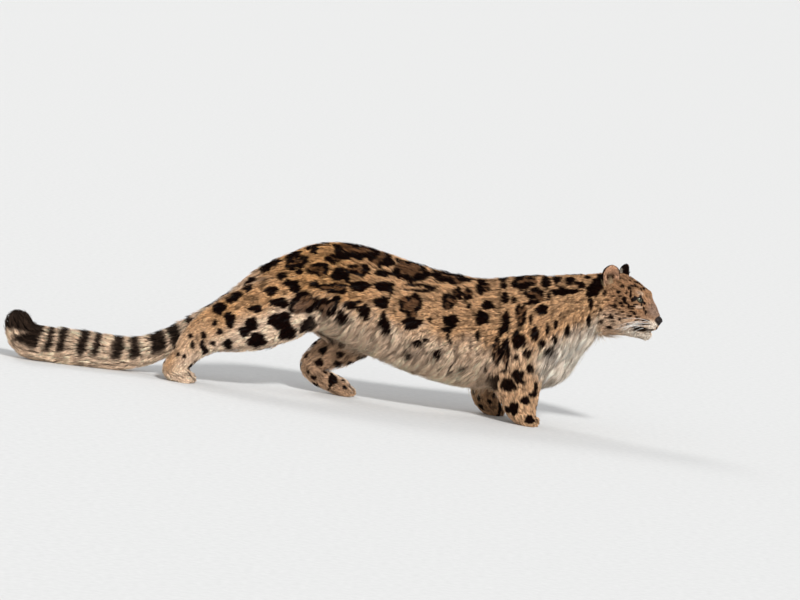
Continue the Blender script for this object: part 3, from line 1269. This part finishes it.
def plain_material(name, colour, roughness):
    made, tree, shader = material(name)
    where = add_node(tree, "ShaderNodeTexCoord")
    cloud = add_node(tree, "ShaderNodeTexNoise", Scale=60.0, Detail=3.0)
    blend = add_node(tree, "ShaderNodeMix", data_type="RGBA")
    blend.inputs["A"].default_value = (*[c * 0.9 for c in colour], 1)
    blend.inputs["B"].default_value = (*[min(c * 1.08, 1) for c in colour], 1)
    tree.links.new(where.outputs["Object"], cloud.inputs["Vector"])
    tree.links.new(cloud.outputs["Fac"], blend.inputs["Factor"])
    tree.links.new(blend.outputs["Result"], shader.inputs["Base Color"])
    shader.inputs["Roughness"].default_value = roughness
    return made


# Pieces

def finish_piece(made, finish, nodes=()):
    made.data.materials.append(finish)
    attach(made, "root")
    if nodes:
        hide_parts(*nodes)


def face_order(face):
    x, y, z = face.calc_center_median()
    return x + 3.1731 * y + 10.0717 * z


def sphere(segments, rings):
    """A ball of radius 1. Its faces are put in order, because the operator's own changes each run."""
    bm = bmesh.new()
    bmesh.ops.create_uvsphere(bm, u_segments=segments, v_segments=rings, radius=1)
    bm.faces.sort(key=face_order)
    return bm


def shaped(name, bm, change):
    """A mesh object from bm, whose vertices, as built, change turns into their places in millimetres."""
    bmesh.ops.recalc_face_normals(bm, faces=bm.faces)
    mesh = bpy.data.meshes.new(name)
    bm.to_mesh(mesh)
    bm.free()
    built = vertices_of(mesh)
    mesh.vertices.foreach_set("co", ((change(built) + OFFSET) * MM).ravel())
    mesh.polygons.foreach_set("use_smooth", np.ones(len(mesh.polygons), bool))
    mesh.update()
    return link(name, mesh), built


def make_eye(side, sign, finish):
    """A ball with a bulge before the iris, looking along its own gaze."""
    bm = sphere(64, 48)
    centre, gaze, up, left = eye_frame(sign)

    def change(p):
        bulge = 1 + EYE_BULGE * smoothstep(p[:, 2], 0.72, 1.0)
        local = p * (EYE_RADIUS * bulge)[:, None]
        return out_of_head(centre + local[:, 2:] * gaze + local[:, :1] * left + local[:, 1:2] * up)

    made, built = shaped(f"eye_{side}_ball", bm, change)
    ring = made.data.attributes.new("Gaze", "FLOAT", "POINT")
    ring.data.foreach_set("value", np.arccos(np.clip(built[:, 2], -1, 1)) / IRIS_ANGLE)
    finish_piece(made, finish, [f"eye_{side}"])


def ear_axes(sign):
    facing = unit(np.array([math.cos(EAR_SPLAY), sign * math.sin(EAR_SPLAY), 0.12]))
    up = np.array([-0.1, sign * math.sin(EAR_LEAN), math.cos(EAR_LEAN)])
    left = unit(np.cross(up, facing))
    return EAR_AT * [1, sign, 1], facing, left, unit(np.cross(facing, left))


def make_ear(side, sign, finish):
    """A rounded cup, open to the front, thicker at its foot."""
    centre, facing, left, up = ear_axes(sign)
    bm = sphere(56, 40)
    bmesh.ops.triangulate(bm, faces=bm.faces)

    def change(p):
        f, l, u = p[:, 2], p[:, 0], p[:, 1]
        across = np.hypot(l, u)
        hollow = np.where(f > 0, -1.15 * (1 - across**2.2) * smoothstep(u, -1.0, -0.2), 0)
        depth = np.where(f > 0, f * 0.22 + hollow * 0.72, f)
        depth = depth + 0.35 * across**2
        l = l * (0.92 + 0.14 * smoothstep(u, -0.1, 0.8))
        local = np.stack([depth * EAR_DEEP, l * EAR_WIDE, u * EAR_TALL], 1)
        return out_of_head(centre + local[:, :1] * facing + local[:, 1:2] * left + local[:, 2:] * up)

    made, built = shaped(f"ear_{side}_cup", bm, change)
    back = smoothstep(-built[:, 2], -0.05, 0.1)
    tint_points(made.data, ear_colour(built))
    finish_piece(made, finish, [f"ear_{side}"])
    mesh = made.data.copy()
    mesh.vertices.foreach_set("co", (vertices_of(mesh) - OFFSET * MM).ravel())
    lie_back = up + 0 * built
    lie_in = unit(up * 0.6 + left * built[:, :1] * -0.9)
    surface = Surface(mesh, lie=np.where((back > 0.5)[:, None], lie_back, lie_in) @ HEAD_AXES)
    surface.built = built
    return surface


def ear_colour(built):
    """Black behind with a grey patch, tan inside with a dark hollow, duller tan at the foot."""
    f, l, u = built[:, 2], built[:, 0], built[:, 1]
    colour = np.tile(EAR_INSIDE, (len(built), 1))
    colour = mixed(colour, EAR_HOLLOW, smoothstep(f, 0.35, 0.8) * smoothstep(-u, -0.5, 0.1))
    back = smoothstep(-f, -0.12 - 0.22 * smoothstep(u, -0.2, 0.4), 0.02)
    colour = mixed(colour, BLACK, back)
    patch = (1 - smoothstep(np.hypot(l / 0.5, (u - 0.1) / 0.42), 0.7, 1.15)) * back
    colour = mixed(colour, GREY, patch * 0.9)
    foot = smoothstep(-u, 0.35, 0.75)
    return mixed(colour, EAR_FOOT, foot * 0.9)


def make_nose(finish):
    """A blunt pad, narrower below, with a groove down its middle and a nostril on each side."""
    bm = sphere(56, 40)
    forward = unit(np.array([0.94, 0, -0.34]))
    left = np.array([0, 1.0, 0])
    up = np.cross(forward, left)

    def change(p):
        f, l, u = p[:, 2], p[:, 0], p[:, 1]
        wide = NOSE_WIDE * (0.45 + 0.55 * smoothstep(u, -1.0, 0.35))
        f = np.where(f > 0, np.minimum(f, 0.72 + 0.12 * f) * 1.1, f)
        groove = NOSE_GROOVE * np.exp(-((l / 0.09) ** 2)) * smoothstep(-u, -0.1, 0.5)
        aside = (np.abs(l) - 0.47) / 0.17
        over = (u + 0.12 - 0.25 * np.abs(l)) / 0.20
        nostril = NOSTRIL_DEPTH * np.exp(-(aside**2) - over**2)
        reach = NOSE_LONG * f - (groove + nostril) * (f > 0)
        local = np.stack([reach, l * wide, u * NOSE_TALL], 1)
        return out_of_head(NOSE_AT + local[:, :1] * forward + local[:, 1:2] * left + local[:, 2:] * up)

    finish_piece(shaped("nose_leather", bm, change)[0], finish, ["nose"])


# Height and front end of each row of four whiskers on the muzzle, in the head's frame.
WHISKER_ROWS = [(-44, 98), (-48, 95), (-52, 92), (-57, 88)]
WHISKER_STEPS = 10
WHISKER_SIDES = 5
WHISKER_THICK, WHISKER_TIP = 0.42, 0.05


def make_whiskers(finish):
    rng = np.random.default_rng(77)
    bm = bmesh.new()
    for sign in (-1, 1):
        for row, (height, front) in enumerate(WHISKER_ROWS):
            for i in range(4):
                root = np.array([front - 8.5 * i, sign * (22 + 2.6 * i), height - 1.2 * i])
                for _ in range(4):
                    reach, away = slope(head_field, root[None])
                    root = root - away[0] * (reach[0] + 2)
                length = rng.uniform(48, 92) * (1 - 0.08 * row)
                back = -0.35 + 0.20 * rng.normal()
                lean = unit(np.array([back, sign * 1.0, -0.10 + 0.13 * rng.normal()]))
                droop = np.array([-0.45, 0, -0.5 - 0.2 * rng.random()])
                make_whisker(bm, root, lean, droop, length)
    mesh = bpy.data.meshes.new("whiskers")
    bm.to_mesh(mesh)
    bm.free()
    mesh.polygons.foreach_set("use_smooth", np.ones(len(mesh.polygons), bool))
    finish_piece(link("whiskers", mesh), finish)


def make_whisker(bm, root, lean, droop, length):
    """A circle drawn out along a curve to a fine tip."""
    ring = bmesh.ops.create_circle(bm, cap_ends=True, segments=WHISKER_SIDES, radius=0.5)["verts"]
    for k in range(WHISKER_STEPS + 1):
        t = k / WHISKER_STEPS
        at = root + (lean * t + droop * t**2 * 0.5) * length
        along = unit(lean + droop * t)
        a = unit(np.cross(along, [0, 0, 1]))
        b = np.cross(along, a)
        thick = WHISKER_THICK * (1 - t) ** 0.7 + WHISKER_TIP
        if k:
            face = [f for f in ring[0].link_faces if all(v in ring for v in f.verts)][0]
            made = bmesh.ops.extrude_discrete_faces(bm, faces=[face])["faces"][0]
            ring = list(made.verts)
        for v, angle in zip(ring, np.arange(WHISKER_SIDES) * math.tau / WHISKER_SIDES):
            place = at + (a * math.cos(angle) + b * math.sin(angle)) * thick
            v.co = Vector((out_of_head(place) + OFFSET) * MM)


FLOOR_SIZE = 1200  # metres either way, so that its edge never shows
SIGHT = 2000


def make_camera():
    turn = Matrix([list(RIGHTWARD), list(UPWARD), list(-AHEAD)]).transposed().to_4x4()
    data = bpy.data.cameras.new("view")
    data.lens, data.sensor_width = LENS, SENSOR
    data.clip_end = SIGHT
    view = bpy.data.objects.new("view", data)
    bpy.context.scene.collection.objects.link(view)
    view.matrix_world = Matrix.Translation(Vector((VIEW_FROM + OFFSET) * MM)) @ turn
    bpy.context.scene.camera = view


def make_floor(finish):
    bm = bmesh.new()
    bmesh.ops.create_grid(bm, x_segments=2, y_segments=2, size=FLOOR_SIZE)
    mesh = bpy.data.meshes.new("floor")
    bm.to_mesh(mesh)
    bm.free()
    made = link("floor", mesh)
    mesh.materials.append(finish)


# Name, where the light comes from, strength and softness in degrees.
SUNS = [
    ("key", (1.5, -4.0, 3.1), 2.9, 8),
    ("fill", (1.6, -4.0, 0.7), 0.75, 30),
    ("rim", (-2.0, 3.4, 3.0), 0.7, 20),
]


def make_lights():
    for name, at, power, spread in SUNS:
        data = bpy.data.lights.new(name, "SUN")
        data.energy, data.angle = power, math.radians(spread)
        lamp = bpy.data.objects.new(name, data)
        bpy.context.scene.collection.objects.link(lamp)
        lamp.location = at
        lamp.rotation_euler = (-lamp.location).to_track_quat("-Z", "Y").to_euler()
    world = bpy.data.worlds.new("studio")
    world.use_nodes = True
    sky = world.node_tree.nodes["Background"]
    sky.inputs["Color"].default_value = (0.92, 0.93, 0.95, 1)
    sky.inputs["Strength"].default_value = 0.58
    bpy.context.scene.world = world
    bpy.context.scene.view_settings.view_transform = "Standard"


FLESH = [
    "head", "neck", "shoulders", "torso", "hindquarters", "foreleg_right", "forepaw_right",
    "foreleg_left", "forepaw_left", "hindleg_right", "hindpaw_right", "hindleg_left",
    "hindpaw_left", "tail_root", "tail_middle", "tail_end", "tail_tip",
]
PIECE_TUFTS = 31500  # of 6 triangles each
EAR_TUFTS = 6000
SKIN_SHADE = 0.7  # the skin is darker than the coat over it
EYE_RIM = 2.0  # how far the bare rim reaches beyond the lids' edge


def bare_skin(surface):
    """1 where no tuft grows: on the eyes and their rims, on the nose and under the feet."""
    q = surface.coat["head"]
    lids = []
    for sign in (-1, 1):
        near = np.linalg.norm(q - EYE_AT * [1, sign, 1], axis=1) < 26
        lids.append(np.where(near, lid_opening(q, sign), 9))
    soles = (surface.at[:, 2] < 4) & (surface.away[:, 2] < -0.6)
    return ((np.min(lids, axis=0) < EYE_RIM) | (nose_reach(q) < 1.05) | soles).astype(float)


def coat_regions(surface):
    """The head's share of the skin, and each coat piece's name, density, gather and clump."""
    coat, at = surface.coat, surface.at
    share = coat["share"]
    head = smoothstep(share["head"], 0.35, 0.5)
    place = coat["place"]["spine"] / (len(BODY["spine"].centres) - 1)
    trunk = share["spine"] + share["chest"]
    front = share["fore_right"] + share["fore_left"]
    rear = share["hind_right"] + share["hind_left"]
    body = 1 - head
    tail = body * (share["tail"] > np.maximum(trunk, rear))
    belly = body * (1 - tail) * (coat["long"] > 0.3) * (trunk > 0.4)
    neck = body * (1 - belly) * (place > 0.80) * (trunk > 0.5)
    rest = body * (1 - tail) * (1 - belly) * (1 - neck)
    hind = rest * (rear > np.maximum(trunk, front))
    fore = rest * (1 - hind) * (front > trunk)
    saddle = rest * (1 - hind) * (1 - fore) * (place > 0.42)
    rump = rest * (1 - hind) * (1 - fore) * (1 - saddle)
    closer = 1 + 0.8 * smoothstep(-at[:, 2], -70, -30)
    face = 1 + 1.6 * smoothstep(coat["head"][:, 0], 20, 70)
    return head, [
        ("coat_face", head * face, 0.2, 10), ("coat_neck", neck, 0.8, 26),
        ("coat_saddle", saddle, 0.7, 20), ("coat_rump", rump, 0.7, 20),
        ("coat_belly", belly, 0.85, 28), ("coat_forelegs", fore * closer, 0.55, 16),
        ("coat_hind_legs", hind * closer, 0.55, 16), ("coat_tail", tail, 0.75, 22),
    ]


def dress(fur, under_fur):
    """The skin with its markings, and the coat over it."""
    mesh = make_skin()
    coat = read_coat(vertices_of(mesh) / MM)
    surface = Surface(mesh, coat)
    rng = np.random.default_rng(5)
    marks = seen_marks(rng)
    marks += mirrored(marks, rng)
    marks += scattered(surface, marks, rng)
    marks += head_marks(rng)
    tint_points(mesh, paint(surface.at, surface.away, coat, marks) * SKIN_SHADE)
    skin = link("skin", mesh)
    mesh.vertices.foreach_set("co", ((surface.at + OFFSET) * MM).ravel())
    mesh.polygons.foreach_set("use_smooth", np.ones(len(mesh.polygons), bool))
    mesh.update()
    finish_piece(skin, under_fur, FLESH)

    def colour_at(shown, away, read):
        near = {
            "share": {name: read(values) for name, values in coat["share"].items()},
            "place": {"tail": TAIL_STRAND.read(shown)[1]},
            "under": read(coat["under"]),
            "head": into_head(shown),
        }
        return paint(shown, away, near, marks)

    head, regions = coat_regions(surface)
    hair, depth = coat["hair"], np.maximum(skin_depth(surface.at, coat), 1)
    width = 1.6 - 0.4 * smoothstep(hair, 25, 60)
    width = width * (1 - head) + (0.95 + hair * 0.03) * head
    haired = 1 - bare_skin(surface)
    unwrap = body_unwrap(surface)
    for i, (name, weight, gather, clump) in enumerate(regions):
        made = grow(
            name, surface, weight * haired, PIECE_TUFTS, hair, depth, width, colour_at, unwrap,
            np.random.default_rng(100 + i), gather, clump, settle=body_field,
        )
        finish_piece(made, fur)


def dress_ear(side, sign, fur, under_fur):
    """An ear's cup with its coat: longest inside and at the foot, shortest at the rim."""
    surface = make_ear(side, sign, under_fur)
    built = surface.built
    f, l, u = built[:, 2], built[:, 0], built[:, 1]
    inside = smoothstep(f, 0.1, 0.5)
    hair = 8 + 10 * inside * smoothstep(np.hypot(l, u), 0.3, 0.8) + 8 * smoothstep(-u, 0.1, 0.7)
    hair = hair * (1 - 0.5 * smoothstep(u, 0.3, 0.9))
    depth = 2.2 + 2.6 * inside
    weight = 1 - 0.75 * inside * (1 - smoothstep(np.hypot(l, u), 0.4, 0.9))

    def unwrap(root, read):
        p = read(built)
        return 0.01 + 0.48 * (p[:, :2] + 1) / 2 + 0.5 * (p[:, 2:] > 0)

    def colour_at(shown, away, read):
        return ear_colour(read(built))

    made = grow(
        f"coat_ear_{side}", surface, weight, EAR_TUFTS, hair, depth, np.ones_like(hair), colour_at,
        unwrap, np.random.default_rng(60 + sign), gather=0.2, clump=10,
    )
    finish_piece(made, fur)


make_camera()
make_lights()
make_floor(plain_material("studio floor", (0.68, 0.68, 0.67), 0.85))
fur, under_fur, eye = fur_material(), skin_material(), eye_material()
dress(fur, under_fur)
for side, sign in (("right", -1), ("left", 1)):
    dress_ear(side, sign, fur, under_fur)
    make_eye(side, sign, eye)
make_nose(nose_material())
make_whiskers(plain_material("whisker", (0.80, 0.78, 0.74), 0.35))
